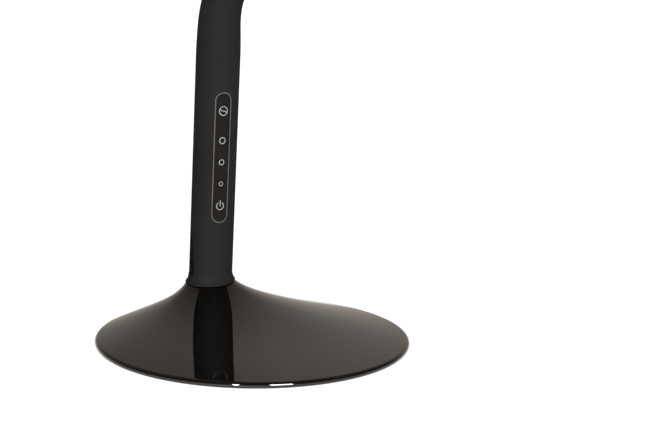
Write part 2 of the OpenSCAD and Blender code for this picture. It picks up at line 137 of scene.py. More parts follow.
def bend_point(i):
    """Bend i (from 1) in the neck's plane: (across, up the stem)."""
    x = 0.0
    z = STEM_LEN + FIRST_BEND
    for k in range(1, i):
        a = math.radians(turn(k))
        x += LINK_LEN * math.sin(a)
        z += LINK_LEN * math.cos(a)
    return x, z


NECK = Matrix.Translation((0, NECK_BACK, SEAM_H))
STEM = NECK @ spin(LEAN, "X")
PLANE = STEM @ spin(NECK_TURN, "Z")


def link_frame(i):
    x, z = bend_point(i)
    return PLANE @ Matrix.Translation((x, 0, z)) @ spin(turn(i), "Y")


HEAD = link_frame(COUNT)

# ---------------------------------------------------------------- materials

NOISE_LOW = 0.3  # most of a noise texture's values lie between these two
NOISE_HIGH = 0.7
LEAST_ROUGH = 0.01
BUMP_DEPTH = 0.3  # a bump's height as a share of its size


def link(tree, out, into):
    tree.links.new(out, into)


def add(tree, kind, **inputs):
    """A new node with inputs set by name, where an underscore stands for a space."""
    node = tree.nodes.new(kind)
    for name, value in inputs.items():
        node.inputs[name.replace("_", " ")].default_value = value
    return node


def colour_ramp(tree, factor, stops):
    """The colour that a ramp gives to a factor, from stops of (position, colour)."""
    ramp = add(tree, "ShaderNodeValToRGB")
    marks = ramp.color_ramp.elements
    while len(marks) < len(stops):
        marks.new(0.5)
    for mark, (position, colour) in zip(marks, stops):
        mark.position = position
        mark.color = colour
    link(tree, factor, ramp.inputs["Fac"])
    return ramp.outputs["Color"]


def material(
    name, colour, rough, tone=0.12, tone_size=0.02, rough_change=0.05, grain=0.0004, bump=0.1, **shader
):
    """A moulded or metal surface.

    The colour drifts by the share tone, and the roughness by rough_change, over distances of tone_size.
    A bump of size grain covers it. What else is given is set on the shader.
    """
    mat = bpy.data.materials.new(name)
    mat.use_nodes = True
    tree = mat.node_tree
    bsdf = tree.nodes["Principled BSDF"]
    for key, value in shader.items():
        bsdf.inputs[key.replace("_", " ")].default_value = value
    place = add(tree, "ShaderNodeTexCoord").outputs["Object"]

    drift = add(tree, "ShaderNodeTexNoise", Scale=1 / tone_size, Detail=3.0)
    link(tree, place, drift.inputs["Vector"])
    dark = [c * (1 - tone) for c in colour] + [1]
    light = [min(c * (1 + tone), 1) for c in colour] + [1]
    shade = colour_ramp(tree, drift.outputs["Fac"], [(NOISE_LOW, dark), (NOISE_HIGH, light)])
    link(tree, shade, bsdf.inputs["Base Color"])

    spread = add(
        tree,
        "ShaderNodeMapRange",
        From_Min=NOISE_LOW,
        From_Max=NOISE_HIGH,
        To_Min=max(rough - rough_change, LEAST_ROUGH),
        To_Max=rough + rough_change,
    )
    link(tree, drift.outputs["Fac"], spread.inputs["Value"])
    link(tree, spread.outputs["Result"], bsdf.inputs["Roughness"])

    fine = add(tree, "ShaderNodeTexNoise", Scale=1 / grain, Detail=2.0)
    link(tree, place, fine.inputs["Vector"])
    raised = add(tree, "ShaderNodeBump", Strength=bump, Distance=grain * BUMP_DEPTH)
    link(tree, fine.outputs["Fac"], raised.inputs["Height"])
    link(tree, raised.outputs["Normal"], bsdf.inputs["Normal"])
    return mat


GLOSS = material(
    "gloss_black",
    (0.0020, 0.0018, 0.0016),
    0.035,
    tone=0.05,
    tone_size=0.05,
    rough_change=0.008,
    grain=0.006,
    bump=0.012,
    IOR=1.5,
    Specular_Tint=(1.0, 0.94, 0.88, 1),
)

# soft-touch paint: a low IOR keeps its faces from shining towards their edges
SOFT_DRIFT = {"tone": 0.1, "tone_size": 0.03}
SOFT = material(
    "soft_touch", (0.0121, 0.0120, 0.0119), 0.6, grain=0.00025, bump=0.16, IOR=1.04, **SOFT_DRIFT
)
# painted shade: the same soft-touch paint at half its brightness, put on the recess, the inlet's hole, the
# foot's underside and the tube's inside
SOFT_PAINTED_SHADE = material(
    "soft_touch_painted_shade", (0.0062, 0.0061, 0.0061), 0.6, grain=0.00025, bump=0.16, IOR=1.04, **SOFT_DRIFT
)
SOFT_HEAD = material(
    "soft_touch_head", (0.0126, 0.0125, 0.0124), 0.55, grain=0.0003, bump=0.14, IOR=1.05, **SOFT_DRIFT
)

PANEL = material(
    "panel_film",
    (0.0098, 0.0086, 0.0076),
    0.5,
    tone=0.06,
    rough_change=0.03,
    grain=0.0005,
    bump=0.05,
    IOR=1.03,
)
OUTLINE = material("panel_line", (0.088, 0.086, 0.082), 0.5, tone=0.08, grain=0.0003, bump=0.05, IOR=1.03)
ICON = material("icon_print", (0.24, 0.237, 0.23), 0.5, tone=0.06, grain=0.0003, bump=0.05, IOR=1.03)
PIT = material("inlet_black", (0.0016, 0.0016, 0.0016), 0.6, tone=0.1, grain=0.0004, bump=0.1, IOR=1.05)
DIFFUSER = material(
    "frosted_diffuser",
    (0.80, 0.80, 0.78),
    0.38,
    tone=0.02,
    grain=0.0004,
    bump=0.12,
    Subsurface_Weight=0.25,
    Subsurface_Radius=(0.004, 0.004, 0.004),
)


def metal(name, colour, rough, **settings):
    return material(name, colour, rough, Metallic=1.0, **settings)


BY_SLOT = {
    "gloss_shell": GLOSS,
    "soft_black": SOFT,
    "sleeve": SOFT,
    "panel": PANEL,
    "diffuser": DIFFUSER,
    "iron": metal("cast_iron", (0.10, 0.10, 0.10), 0.7, tone=0.3, grain=0.0012, bump=0.5),
    "steel_plate": material("painted_plate", (0.02, 0.02, 0.02), 0.45, grain=0.0006, bump=0.15),
    "foam": material("pad_foam", (0.012, 0.012, 0.012), 0.85, tone=0.25, grain=0.0009, bump=0.6),
    "fastener": metal("zinc_plate", (0.55, 0.55, 0.54), 0.3, grain=0.0005, bump=0.1),
    "board": material(
        "solder_mask", (0.012, 0.10, 0.04), 0.35, tone=0.2, tone_size=0.006, grain=0.0008, bump=0.1
    ),
    "chip": material("chip_body", (0.02, 0.02, 0.02), 0.55, grain=0.0003, bump=0.2),
    "jack": material("jack_body", (0.003, 0.003, 0.003), 0.5, grain=0.0004, bump=0.15, IOR=1.1),
    "contact": metal("plated_brass", (0.72, 0.53, 0.24), 0.25, grain=0.0005, bump=0.05),
    "machined": metal("turned_steel", (0.50, 0.50, 0.50), 0.28, grain=0.0004, bump=0.15),
    "wire": material("lead_jacket", (0.012, 0.012, 0.012), 0.5, grain=0.0006, bump=0.15),
    "conduit": metal("wound_steel", (0.38, 0.38, 0.385), 0.35, grain=0.0006, bump=0.2),
    "spreader": metal("rolled_aluminium", (0.72, 0.72, 0.73), 0.35, grain=0.0008, bump=0.1),
    "led_board": material("white_mask", (0.75, 0.75, 0.72), 0.4, tone=0.05, grain=0.0006, bump=0.08),
    "led": material("phosphor", (0.80, 0.62, 0.12), 0.45, tone=0.1, grain=0.0006, bump=0.1),
}
for part in frame["record"]["subparts"]:
    target = frame["nodes"][part["node"]]
    target.data.materials.clear()
    target.data.materials.append(BY_SLOT[part["material_slot"]])

# ---------------------------------------------------------------- mesh helpers


def circle(count, start=0.0):
    """Angles of a full turn, without the last one, from a start in steps."""
    return [2 * math.pi * (k + start) / count for k in range(count)]


def loft(rings, caps=(True, True), loop=False):
    """(points, faces) of a skin over rings of equally many points.

    The caps close its first and last ring. A loop joins the last ring to the first instead.
    """
    n = len(rings[0])
    m = len(rings)
    points = [p for ring in rings for p in ring]
    faces = []
    for i in range(m if loop else m - 1):
        up = (i + 1) % m
        for k in range(n):
            side = (k + 1) % n
            faces.append((i * n + k, i * n + side, up * n + side, up * n + k))
    if caps[0] and not loop:
        faces.append(tuple(reversed(range(n))))
    if caps[1] and not loop:
        faces.append(tuple(range((m - 1) * n, m * n)))
    return points, faces


def make(name, shape, place, mat, sharp=35):
    """A smooth piece of the shape, in the frame place, with edges over sharp degrees kept."""
    points, faces = shape
    mesh = bpy.data.meshes.new(name)
    mesh.from_pydata([MM @ place @ Vector(p) for p in points], [], faces)
    mesh.polygons.foreach_set("use_smooth", [True] * len(mesh.polygons))
    mesh.set_sharp_from_angle(angle=math.radians(sharp))
    mesh.materials.append(mat)
    piece = bpy.data.objects.new(name, mesh)
    bpy.context.scene.collection.objects.link(piece)
    return piece


def dress(piece, body, slot, *nodes):
    """Puts a piece on its body and hides the CAD nodes that it stands for. The slot is not used."""
    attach(piece, body)
    if nodes:
        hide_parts(*nodes)


def smoothstep(t):
    t = min(max(t, 0.0), 1.0)
    return t * t * (3 - 2 * t)


# ---------------------------------------------------------------- base

RISE = ((1, 0.545), (2, -0.17), (3, 0.41), (12, 0.215))  # (power, weight) of the sweep, 1 in all
TOP_START = 0.004  # share of the way up where the section leaves the rim's rounding
ARC_STEPS = 40
ARC_LIMIT = 74  # degrees above level where the rounding ends at the latest
TOP_STEPS = 700
TOP_SPREAD = 1.3  # above 1, the section's points lie closer towards the rim
EVEN_STEP = 0.12  # distance between points once they are evened out
BLUR = 4  # points on either side that each point is averaged with, so no crease shows

BASE_SIDES = 256
BASE_SHARP = 50  # degrees
RIM_RINGS = 56
RIM_REACH = 13.07  # how far along the section the close rings of the rim go
RIM_SPREAD = 1.25
TOP_RINGS = 70
SEAM_EDGE = ((0.0, 0.12), (0.08, 0.03), (0.3, 0.0))  # (in, down) of the seam's rounded edge
LIP_H = 2.0
INNER_SHARES = (0.95, 0.8, 0.6, 0.4, 0.2, 0.02)  # of the way up, for the shell's inner rings


def rise(s):
    """The top's height at a share s of the way from rim (0) to seam (1), as a share of the whole rise."""
    return sum(weight * s**power for power, weight in RISE)


def base_point(s, a, inset=0.0):
    """A point of the base's top at azimuth a, from its rim (s = 0) to the seam (s = 1)."""
    r = (BASE_R - RIM_INSET) * (1 - s) + FOOT_R * s - inset
    x = r * math.cos(a)
    y = r * math.sin(a) + NECK_BACK * s
    tilt = x * math.tan(math.radians(SEAM_SLOPE)) * s**3
    return Vector((x, y, RIM_H - inset + (SEAM_H - RIM_H) * rise(s) + tilt))


def along(points, step):
    """The polyline's points at equal distances."""
    out = [points[0]]
    carry = 0.0
    for a, b in zip(points, points[1:]):
        length = (b - a).length
        at = step - carry
        while at <= length:
            out.append(a.lerp(b, at / length))
            at += step
        carry = length - (at - step)
    return out


def base_section(a):
    """One section of the outer skin at azimuth a: from under the rim, over its rounding, to the seam."""
    radial = Vector((math.cos(a), math.sin(a), 0))
    edge = base_point(0, a)
    first = base_point(TOP_START, a)
    slope = math.atan2(first.z - edge.z, (first - edge).xy.length)
    end = min(math.radians(ARC_LIMIT), math.pi / 2 - slope)
    points = []
    for k in range(ARC_STEPS + 1):
        phi = -math.pi / 2 + (end + math.pi / 2) * k / ARC_STEPS
        out = BASE_R - RIM_ROUND + RIM_ROUND * math.cos(phi)
        up = (RIM_H + RIM_LIFT) / 2 + RIM_ROUND * math.sin(phi)
        points.append(radial * out + Vector((0, 0, up)))
    for k in range(TOP_STEPS + 1):
        s = TOP_START + (1 - TOP_START) * (k / TOP_STEPS) ** TOP_SPREAD
        points.append(base_point(s, a))
    even = along(points, EVEN_STEP)
    blurred = list(even)
    for k in range(BLUR, len(even) - BLUR):
        near = even[k - BLUR : k + BLUR + 1]
        blurred[k] = sum(near, Vector()) / len(near)
    return blurred


def point_at(section, place):
    """The section's point at a place that needn't be a whole number."""
    low = min(int(place), len(section) - 2)
    return section[low].lerp(section[low + 1], place - low)


def base_skin():
    """From inside the shell, over its lip, the rim and the sweeping top, to the seam's edge."""
    angles = circle(BASE_SIDES)
    sections = [base_section(a) for a in angles]
    rings = [[base_point(s, a, SHELL_WALL) for a in angles] for s in INNER_SHARES]
    flat = BASE_R - RIM_INSET - SHELL_WALL
    for z in (RIM_LIFT + LIP_H, RIM_LIFT):
        rings.append([(flat * math.cos(a), flat * math.sin(a), z) for a in angles])
    last = int(RIM_REACH / EVEN_STEP)
    for k in range(RIM_RINGS):
        pick = round(last * (k / (RIM_RINGS - 1)) ** RIM_SPREAD)
        rings.append([section[pick] for section in sections])
    for k in range(1, TOP_RINGS):
        t = math.sin(math.pi / 2 * k / TOP_RINGS)
        rings.append([point_at(sec, last + (len(sec) - 1 - last) * t) for sec in sections])
    for inset, down in SEAM_EDGE:
        rings.append([base_point(1, a, inset) + Vector((0, 0, inset - down)) for a in angles])
    return loft(rings)


shell = make("base_skin", base_skin(), Matrix(), GLOSS, BASE_SHARP)
dress(shell, "stand", "gloss_shell", "base_shell")

# ---------------------------------------------------------------- stem

STEM_SIDES = 192
STEM_RINGS = 90
TAPER_FROM = 155.0  # between these heights, stem and neck thin down to the sleeve's radius
TAPER_TO = 196.0

FOOT_UNDER_R = 13.5
BEAD = 1.0
BEAD_TOP = 75  # degrees above level where the bead ends
BEAD_STEPS = 16
BEAD_END = SEAM_GAP + BEAD * (1 + math.sin(math.radians(BEAD_TOP)))
CREASE_IN = 0.16
CREASE_UP = 0.06
FLARE_TOP = FLARE_H + 1
FLARE_POWER = 1.5  # above 1, the flare is hollow
FLARE_STEPS = 24
TUBE_START = FLARE_H + 1.2
LEVEL_RUN = 9  # height over which the rings turn from the seam's plane to square with the stem

# the skin's inside
BORE_R = STEM_IN_R - 1
BORE_LOW = 49
LAND_TOP = 47


def outer_radius(path):
    """Radius of stem and sleeve at a distance above the seam, along the stem and neck."""
    return STEM_R - (STEM_R - SLEEVE_R) * smoothstep((path - TAPER_FROM) / (TAPER_TO - TAPER_FROM))


def foot_profile():
    """The bead, the crease over it and the flare.

    Each row is a height above the seam's plane, a radius, and how far the ring lies parallel to that plane.
    """
    rows = [(SEAM_GAP, INLET_LAND, 1), (SEAM_GAP, FOOT_UNDER_R, 1)]
    for k in range(BEAD_STEPS + 1):
        a = math.radians(-90 + (90 + BEAD_TOP) * k / BEAD_STEPS)
        rows.append((SEAM_GAP + BEAD * (1 + math.sin(a)), FOOT_R - BEAD * (1 - math.cos(a)), 1))
    crease = rows[-1][1] - CREASE_IN
    for k in range(FLARE_STEPS + 1):
        t = k / FLARE_STEPS
        h = BEAD_END + CREASE_UP + (FLARE_TOP - BEAD_END) * t
        r = STEM_R + (crease - STEM_R) * (1 - t) ** FLARE_POWER
        rows.append((h, r, 1 - smoothstep((h - BEAD_END) / LEVEL_RUN)))
    return rows


def stem_rings():
    """The foot, the tube up to the neck's first bend, and back down inside it."""
    rows = foot_profile()
    for k in range(1, STEM_RINGS + 1):
        h = TUBE_START + (SKIN_END - TUBE_START) * k / STEM_RINGS
        rows.append((h, outer_radius(h), 1 - smoothstep((h - BEAD_END) / LEVEL_RUN)))
    rows += [(SKIN_END, BORE_R, 0), (BORE_LOW, BORE_R, 0), (LAND_TOP, INLET_LAND, 0)]
    sideways = math.tan(math.radians(SEAM_SLOPE))
    forward = math.sin(math.radians(LEAN))
    rings = []
    for h, r, flat in rows:
        ring = []
        for a in circle(STEM_SIDES):
            x = r * math.cos(a)
            y = r * math.sin(a)
            ring.append((x, y, h + flat * (x * sideways - y * forward)))
        rings.append(ring)
    return rings


ROUND_STEPS = 40
SIDE_STEPS = 13


def capsule(low, high, low_r, high_r):
    """Outline round two circles, one above the other: points (across, up), anticlockwise."""
    tip = math.asin((low_r - high_r) / (high - low))
    over = [tip + (math.pi - 2 * tip) * k / ROUND_STEPS for k in range(ROUND_STEPS + 1)]
    under = [math.pi - tip + (math.pi + 2 * tip) * k / ROUND_STEPS for k in range(ROUND_STEPS + 1)]
    top = [Vector((high_r * math.cos(a), high + high_r * math.sin(a))) for a in over]
    bottom = [Vector((low_r * math.cos(a), low + low_r * math.sin(a))) for a in under]
    straight = [k / SIDE_STEPS for k in range(1, SIDE_STEPS)]
    left = [top[-1].lerp(bottom[0], t) for t in straight]
    right = [bottom[-1].lerp(top[0], t) for t in straight]
    return top + left + bottom + right


def stadium(width, length, low, offset):
    """Outline of a stadium, grown by offset: points (across, up), anticlockwise."""
    return capsule(low + width / 2, low + length - width / 2, width / 2 + offset, width / 2 + offset)


# the recess is a teardrop round two circles, the larger one about the inlet
DROP_LOW = 9.9
DROP_HIGH = 35.0
DROP_LOW_R = 4.7
DROP_HIGH_R = 1.1
# how far the outline grows, with its height over the recess's floor or over the tube's surface
DROP_FLOOR = ((-0.45, 0.0), (-0.12, 0.1), (0.0, 0.4))
DROP_MOUTH = ((0.0, -0.32), (0.06, -0.2), (0.2, -0.06), (0.42, 0.05), (1.6, 1.0))
DROP_LEAST = RECESS_FLOOR + 0.41  # nearest that the mouth's rings come to the stem's axis
CUT_OVER = 3.0  # how far the cutter goes beyond the stem

HOLE_SIDES = 64
HOLE_EDGE = ((0.3, 0.45), (0.0, 0.25), (-0.08, 0.07), (-0.25, 0.0))  # (over the recess's floor, grown by)
HOLE_BACK = INLET_LAND - 1

# the liner's rings: (from the stem's axis, radius)
LINER = (
    (RECESS_FLOOR - 0.28, INLET_R - 0.02),
    (INLET_LAND + 0.05, INLET_R - 0.02),
    (INLET_LAND + 0.05, INLET_R - 0.25),
    (RECESS_FLOOR - 0.34, INLET_R - 0.2),
)


def drop(grown):
    return capsule(DROP_LOW, DROP_HIGH, DROP_LOW_R + grown, DROP_HIGH_R + grown)


def recess_cutter():
    """The inlet's teardrop recess, with a filleted floor and a rounded mouth that follows the tube."""
    rings = [[(-(RECESS_FLOOR + up), -u, v) for u, v in drop(grown)] for grown, up in DROP_FLOOR]
    for grown, over in DROP_MOUTH:
        r = STEM_R + over
        rings.append([(-max(math.sqrt(r * r - u * u), DROP_LEAST), -u, v) for u, v in drop(grown)])
    rings.append([(-STEM_R - CUT_OVER, u, v) for _, u, v in rings[-1]])
    return loft(rings)


def hole_ring(x, r):
    """A ring about the inlet's axis, x from the stem's axis."""
    return [(-x, r * math.cos(a), INLET_Z - r * math.sin(a)) for a in circle(HOLE_SIDES)]


def inlet_cutter():
    """The inlet's hole, with a slightly rounded edge."""
    rings = [hole_ring(HOLE_BACK, INLET_R)]
    rings += [hole_ring(RECESS_FLOOR + over, INLET_R + grown) for over, grown in reversed(HOLE_EDGE)]
    return loft(rings)


def liner_shape():
    """A thin tube that lines the inlet's hole."""
    return loft([hole_ring(x, r) for x, r in LINER], loop=True)


SAME_PLACE = 1e-6  # metres
SAME_FACING = 0.93  # cosine of the angle between two faces


def carve(piece, cutters, sharp=35):
    """Cuts the cutters out of the piece and keeps the uncut surface's smooth shading round the cuts."""
    whole = piece.data
    tree = BVHTree.FromPolygons([v.co for v in whole.vertices], [p.vertices for p in whole.polygons])
    for cutter in cutters:
        step = piece.modifiers.new(cutter.name, "BOOLEAN")
        step.operation = "DIFFERENCE"
        step.solver = "MANIFOLD"
        step.object = cutter
    cut = bpy.data.meshes.new_from_object(piece.evaluated_get(bpy.context.evaluated_depsgraph_get()))
    piece.modifiers.clear()
    for cutter in cutters:
        bpy.data.objects.remove(cutter)
    cut.polygons.foreach_set("use_smooth", [True] * len(cut.polygons))
    cut.set_sharp_from_angle(angle=math.radians(sharp))
    normals = [corner.vector.copy() for corner in cut.corner_normals]
    for poly in cut.polygons:
        for corner in poly.loop_indices:
            co = cut.vertices[cut.loops[corner].vertex_index].co
            spot, _, face, far = tree.find_nearest(co)
            if far > SAME_PLACE or whole.polygons[face].normal.dot(poly.normal) < SAME_FACING:
                continue
            ids = whole.polygons[face].vertices
            weights = poly_3d_calc([whole.vertices[i].co for i in ids], spot)
            corners = whole.polygons[face].loop_indices
            soft = sum((whole.corner_normals[c].vector * w for c, w in zip(corners, weights)), Vector())
            normals[corner] = soft.normalized()
    cut.normals_split_custom_set(normals)
    piece.data = cut


# the painted shade goes on faces below this height that lie inside the tube's surface
PAINTED_SHADE_TOP = DROP_HIGH + 5
PAINTED_SHADE_R = STEM_R - 0.25


def paint_recess_shade(piece):
    """Gives the recess, the inlet's hole, the foot's underside and the tube's inside behind it the darker
    surface: painted shade where little light reaches.
    """
    piece.data.materials.append(SOFT_PAINTED_SHADE)
    to_stem = (MM @ STEM).inverted()
    for poly in piece.data.polygons:
        spot = to_stem @ poly.center
        if spot.z < PAINTED_SHADE_TOP and spot.xy.length < PAINTED_SHADE_R:
            poly.material_index = 1


skin = make("stem_skin", loft(stem_rings(), loop=True), STEM, SOFT)
recess = make("recess_cutter", recess_cutter(), STEM, SOFT)
inlet = make("inlet_cutter", inlet_cutter(), STEM, SOFT)
carve(skin, [recess, inlet])
# painted shade in the recess, the inlet's hole, under the foot and inside the tube
paint_recess_shade(skin)
dress(skin, "stand", "soft_black", "stem_tube", "neck_sleeve_0")
dress(make("inlet_liner", liner_shape(), STEM, PIT), "stand", "jack")

# ---------------------------------------------------------------- touch panel and icons

FILM_R = STEM_R + 0.04  # radius of the film's face about the stem's axis
FILM_W = 11.2
FILM_U = -0.45  # place of its middle, and of the icons, round the tube
FILM_EDGE = ((0.0, STEM_R - 0.3), (0.0, STEM_R + 0.01), (-0.03, FILM_R - 0.005), (-0.1, FILM_R))
FILM_STEPS = 8
FILM_MIDDLE = 0.02  # half the width of the slit that the last cap closes
LINE_W = 0.6
PRINT = 0.015  # height of the print
PRINT_ROOT = 0.05  # how deep an icon's sides go into the film
LINE_ROOT = 0.1


def on_tube(u, v, r):
    """A point of the stem's front: u round the tube, v up it, r from its axis."""
    a = u / STEM_R
    return (r * math.sin(a), -r * math.cos(a), v)


def panel_rings(rows):
    """Rings of the panel's stadium, grown by each row's first number, at its second as radius."""
    rings = []
    for grown, r in rows:
        outline = stadium(FILM_W, PANEL_LEN, PANEL_LOW, grown)
        rings.append([on_tube(u + FILM_U, v, r) for u, v in outline])
    return rings


def panel_face():
    inside = [(-k * FILM_W / 2 / FILM_STEPS, FILM_R) for k in range(1, FILM_STEPS)]
    middle = (-FILM_W / 2 + FILM_MIDDLE, FILM_R)
    return loft(panel_rings([*FILM_EDGE, *inside, middle]))


def panel_outline():
    root = FILM_R - LINE_ROOT
    top = FILM_R + PRINT
    return loft(panel_rings([(0, root), (0, top), (-LINE_W, top), (-LINE_W, root)]), loop=True)


dress(make("panel_face", panel_face(), STEM, PANEL), "stand", "panel", "touch_panel")
dress(make("panel_outline", panel_outline(), STEM, OUTLINE), "stand", "panel")


def stroke(path, width, closed=False):
    """A printed line of one width along (u, v) points, thinly raised from the panel."""
    low = FILM_R - PRINT_ROOT
    high = FILM_R + PRINT
    rings = []
    n = len(path)
    for k in range(n):
        before = path[k - 1] if closed or k else path[0]
        after = path[(k + 1) % n] if closed or k < n - 1 else path[-1]
        run = Vector((after[0] - before[0], after[1] - before[1])).normalized()
        side = Vector((-run.y, run.x)) * width / 2
        left = Vector(path[k]) + side
        right = Vector(path[k]) - side
        corners = ((left, low), (left, high), (right, high), (right, low))
        rings.append([on_tube(*spot, r) for spot, r in corners])
    return loft(rings, loop=closed)


STROKE = 0.56
UPRIGHT = 0.9  # width of an icon as a share of its height
MODE_V = 121.2
RING_STEPS = 48
RINGS = (  # (name, height, diameter, width of the line)
    ("icon_mode_ring", MODE_V, 6.5, STROKE),
    ("icon_bright", 101.4, 4.7, STROKE),
    ("icon_middle", 86.85, 3.95, 0.48),
    ("icon_dim", 72.2, 3.1, 0.38),
)
WAVE_TURN = math.radians(-33)
WAVE_SWAY = 0.38
WAVE_REACH = 2.75
WAVE_STEPS = 32
POWER_V = 57.2
POWER_R = 2.6
POWER_ARC = (124, 416)  # degrees, so a gap stays at its top
POWER_STEPS = 44
POWER_BAR = (-0.3, 1.8, 3.9)  # heights over the ring's middle


def arc(u, v, r, start, end, count):
    """Points of an arc that is a little taller than wide, as the icons are."""
    steps = [math.radians(start + (end - start) * k / count) for k in range(count + 1)]
    return [(u + UPRIGHT * r * math.cos(a), v + r * math.sin(a)) for a in steps]


def wave():
    """The slanting wave in the mode icon."""
    c = math.cos(WAVE_TURN)
    s = math.sin(WAVE_TURN)
    points = []
    for k in range(WAVE_STEPS + 1):
        t = k / (WAVE_STEPS / 2) - 1
        ahead = WAVE_REACH * t
        aside = WAVE_SWAY * math.sin(math.pi * t)
        points.append((FILM_U + ahead * c - aside * s, MODE_V + ahead * s + aside * c))
    return points


def icon(name, shape):
    dress(make(name, shape, STEM, ICON), "stand", "panel")


for name, height, diameter, width in RINGS:
    ring = arc(FILM_U, height, (diameter - width) / 2, 0, 360, RING_STEPS)[:-1]
    icon(name, stroke(ring, width, closed=True))
icon("icon_mode_wave", stroke(wave(), STROKE))
icon("icon_power_ring", stroke(arc(FILM_U, POWER_V, POWER_R, *POWER_ARC, POWER_STEPS), STROKE))
icon("icon_power_bar", stroke([(FILM_U, POWER_V + up) for up in POWER_BAR], STROKE))

# ---------------------------------------------------------------- neck sleeve

SLEEVE_SIDES = 96
BEND_STEPS = 14
END_RUN = 0.35  # short straight run at either end of a section
TAIL_STEPS = (HALF_LINK, 14.0, LAST_BEND + 1)


def sleeve_ring(centre, tangent, radius):
    """A ring in the neck's plane coordinates: centre and tangent are (across, up) there."""
    inward = Vector((tangent.y, -tangent.x))
    ring = []
    for a in circle(SLEEVE_SIDES):
        flat = centre + inward * radius * math.cos(a)
        ring.append((flat.x, radius * math.sin(a), flat.y))
    return ring


def heading(i):
    """Direction of link i in the neck's plane."""
    a = math.radians(turn(i))
    return Vector((math.sin(a), math.cos(a)))


def sleeve_section(k):
    """The sleeve over bend k, from the middle of link k - 1 to the middle of link k, as one arc."""
    pivot = Vector(bend_point(k))
    angle = math.radians(BENDS[k - 1])
    radius = HALF_LINK / math.tan(angle / 2)
    before = heading(k - 1)
    after = heading(k)
    start = pivot - before * HALF_LINK
    end = pivot + after * HALF_LINK
    centre = start + Vector((before.y, -before.x)) * radius
    path = SKIN_END + LINK_LEN * (k - 1)
    rings = [sleeve_ring(start, before, outer_radius(path))]
    for j in range(BEND_STEPS + 1):
        t = j / BEND_STEPS
        c = math.cos(angle * t)
        s = math.sin(angle * t)
        out = Vector((-before.y * c + before.x * s, before.x * c + before.y * s))
        tangent = Vector((out.y, -out.x))
        nudge = END_RUN * (1 - 2 * t)
        spot = centre + out * radius + tangent * nudge
        rings.append(sleeve_ring(spot, tangent, outer_radius(path + LINK_LEN * t)))
    rings.append(sleeve_ring(end, after, outer_radius(path + LINK_LEN)))
    return loft(rings, caps=(False, False)), start, end


for k in range(1, COUNT + 1):
    shape, start, end = sleeve_section(k)
    piece = make(f"neck_skin_{k}", shape, PLANE, SOFT)
    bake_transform(piece)
    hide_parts(f"neck_sleeve_{k}")

tail = []
for z in TAIL_STEPS:
    tail.append([(SLEEVE_R * math.cos(a), SLEEVE_R * math.sin(a), z) for a in circle(SLEEVE_SIDES)])
dress(make("neck_skin_end", loft(tail, caps=(False, False)), HEAD, SOFT), "head", "sleeve")

# ---------------------------------------------------------------- head

HEAD_SIDES = 160
TRIM = 0.08  # how far the head's skins stay inside the CAD's outline
SLEEVE_FIT = 0.5  # how far the collar stands out from the neck's sleeve

COVER_STEPS = 12
COVER_BEVEL = 3  # in the inner corner
CROWN_UP = 0.02  # each ring of the cover's top lies this much higher than the last
CROWN_IN = 2.2
CROWN_RINGS = 3

BEZEL_STEPS = 6
BEZEL_MOUTH = ((0.0, -0.25), (0.08, -0.07), (0.3, 0.0), (BEZEL_T, 0.0))  # (above the lower face, inset)
DIFFUSER_SIDE = COVER_WALL + 0.3
DIFFUSER_FACE = ((0.01, BEZEL_LIP + 2), (0.02, BEZEL_LIP + 5))  # (below the cover's rim, inset)

COLLAR_STEPS = 32
COLLAR_EDGE = 0.5
COLLAR_EDGE_STEPS = 4
COLLAR_IN = ((2.5, 1.5), (1.0, 0.3))  # (inset, distance into the collar) inside its neck end
MOUTH_EDGE = 0.25
MOUTH_IN = 3


def pad_ring(x, inset):
    """Outline of the head at level x, set in on every side: slim, wider at its tip."""
    r0 = ROOT_R - TRIM - inset
    r1 = TIP_R - TRIM - inset
    tip = HEAD_END - TIP_R
    root = HEAD_START + ROOT_R
    wide = math.degrees(math.asin((r1 - r0) / (tip - root)))
    half = HEAD_SIDES // 2
    ring = []
    for k in range(half):
        a = math.radians(-90 - wide + (180 + 2 * wide) * k / (half - 1))
        ring.append((x, r1 * math.sin(a), tip + r1 * math.cos(a)))
    for k in range(half):
        a = math.radians(90 + wide + (180 - 2 * wide) * k / (half - 1))
        ring.append((x, r0 * math.sin(a), root + r0 * math.cos(a)))
    return ring


def cut_straight(ring, start):
    """The ring without what lies nearer to the neck than start."""
    return [(x, y, max(z, start)) for x, y, z in ring]


def quarter(count):
    """(sine, cosine) at equal steps of a quarter turn."""
    angles = [math.pi / 2 * k / count for k in range(count + 1)]
    return [(math.sin(a), math.cos(a)) for a in angles]


def cover_shape():
    """From inside the cover, round its rim and up over its rounded edge to its nearly flat top."""
    under = COVER_TOP + COVER_WALL
    rings = [pad_ring(under, COVER_WALL + COVER_BEVEL), pad_ring(under + COVER_BEVEL, COVER_WALL)]
    rings += [pad_ring(COVER_RIM, COVER_WALL), pad_ring(COVER_RIM, 0)]
    for s, c in quarter(COVER_STEPS):
        rings.append(pad_ring(COVER_TOP + COVER_ROUND * (1 - s), COVER_ROUND * (1 - c)))
    for k in range(1, CROWN_RINGS + 1):
        rings.append(pad_ring(COVER_TOP - CROWN_UP * k, COVER_ROUND + CROWN_IN * k))
    return loft(rings)


def bezel_shape():
    """The frame under the cover, with a rounded outer edge and a slightly rounded mouth."""
    edge = BEZEL_T / 2
    rings = [pad_ring(COVER_RIM, 0.0), pad_ring(BEZEL_LOW - edge, 0.0)]
    for s, c in quarter(BEZEL_STEPS)[1:]:
        rings.append(pad_ring(BEZEL_LOW - edge * (1 - s), edge * (1 - c)))
    for up, inset in BEZEL_MOUTH:
        rings.append(cut_straight(pad_ring(BEZEL_LOW - up, BEZEL_LIP + inset), BEZEL_OPEN + inset))
    return loft([ring[::-1] for ring in rings], loop=True)


